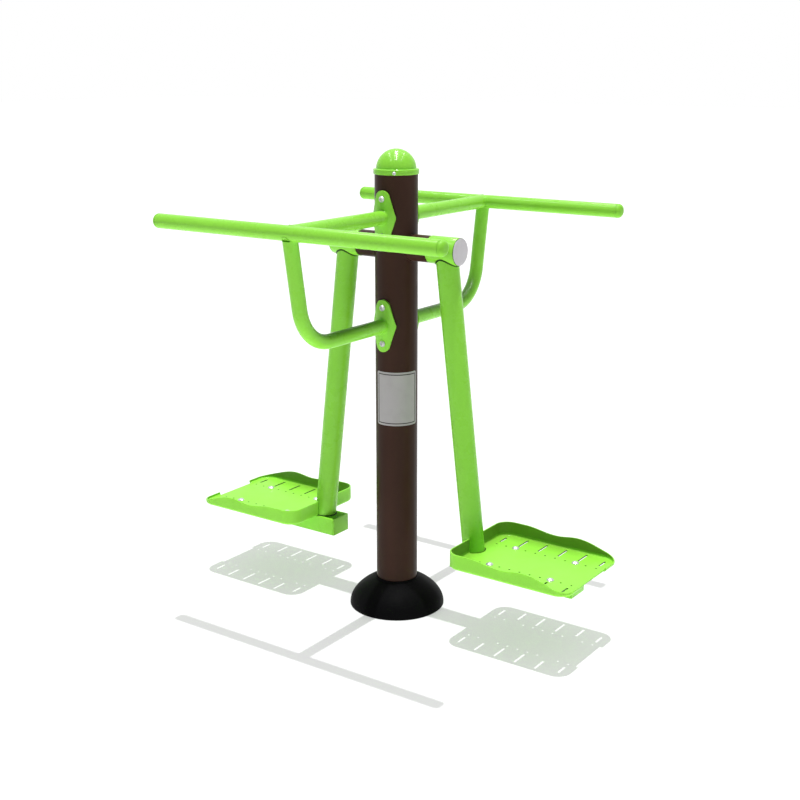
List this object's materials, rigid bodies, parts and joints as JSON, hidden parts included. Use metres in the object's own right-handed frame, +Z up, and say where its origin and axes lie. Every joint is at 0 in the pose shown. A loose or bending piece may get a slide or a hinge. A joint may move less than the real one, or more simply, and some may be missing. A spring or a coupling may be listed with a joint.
{
  "type": "two-place pendulum walker for outdoor exercise",
  "caption": "Steel ground post with a domed cap, T-shaped hand bars front and back, and two leaning pendulum arms that each carry a wide pressed foot tray.",
  "frame": {"origin": "centre of the post on the ground", "axes": "+X along the cross tube towards the right tray, +Y from the front hand bar to the back hand bar (the swing), +Z up"},
  "size_m": [1.2292, 0.9058, 1.268],
  "materials": {
    "green_paint": "smooth glossy powder coat over welded steel tube",
    "tray_paint": "glossy powder coat over pressed sheet",
    "brown_paint": "dark brown satin powder coat",
    "green_plastic": "moulded end plug",
    "black_plastic": "black moulded cover, soft sheen",
    "bright_bolt": "zinc plated",
    "bearing_steel": "ground and oiled",
    "label_grey": "satin silver sheet with a thin dark inner border",
    "disc_grey": "satin silver disc"
  },
  "bodies": {
    "frame": {"main_post": "brown_paint", "base_plate": "brown_paint", "base_gussets": "brown_paint", "base_cover": "black_plastic", "post_cap": "green_paint", "cap_screws": "bright_bolt", "label_plate": "label_grey", "cross_tube": "brown_paint", "cross_plugs": "brown_paint", "pivot_axle": "bearing_steel", "stop_collars": "bearing_steel", "dust_washers": "black_plastic", "inner_races": "bearing_steel", "bearing_balls": "bearing_steel", "bearing_cages": "bearing_steel", "race_spacers": "bearing_steel", "axle_washers": "bright_bolt", "axle_nuts": "bright_bolt", "front_bar": "green_paint", "back_bar": "green_paint", "bar_plugs": "green_plastic", "front_upper_tube": "green_paint", "back_upper_tube": "green_paint", "front_bent_tube": "green_paint", "back_bent_tube": "green_paint", "front_upper_flange": "green_paint", "front_lower_flange": "green_paint", "back_upper_flange": "green_paint", "back_lower_flange": "green_paint", "flange_bolts": "bright_bolt", "flange_nuts": "bright_bolt"},
    "right_arm": {"right_sleeve": "green_paint", "right_disc": "disc_grey", "right_outer_races": "bearing_steel", "right_snap_ring": "bearing_steel", "right_stop_ring": "bearing_steel", "right_arm_tube": "green_paint", "right_beam": "green_paint", "right_beam_ends": "green_paint", "right_lugs": "green_paint", "right_tray": "tray_paint", "right_tray_bolts": "bright_bolt", "right_tray_nuts": "bright_bolt"},
    "left_arm": {"left_sleeve": "green_paint", "left_disc": "disc_grey", "left_outer_races": "bearing_steel", "left_snap_ring": "bearing_steel", "left_stop_ring": "bearing_steel", "left_arm_tube": "green_paint", "left_beam": "green_paint", "left_beam_ends": "green_paint", "left_lugs": "green_paint", "left_tray": "tray_paint", "left_tray_bolts": "bright_bolt", "left_tray_nuts": "bright_bolt"}
  },
  "joints": [
    {"name": "right_swing", "type": "hinge", "parent": "frame", "child": "right_arm", "pos_m": [0.158, 0, 1.016], "axis": [1, 0, 0], "range_deg": [-40, 40]},
    {"name": "left_swing", "type": "hinge", "parent": "frame", "child": "left_arm", "pos_m": [-0.158, 0, 1.016], "axis": [1, 0, 0], "range_deg": [-40, 40]}
  ]
}
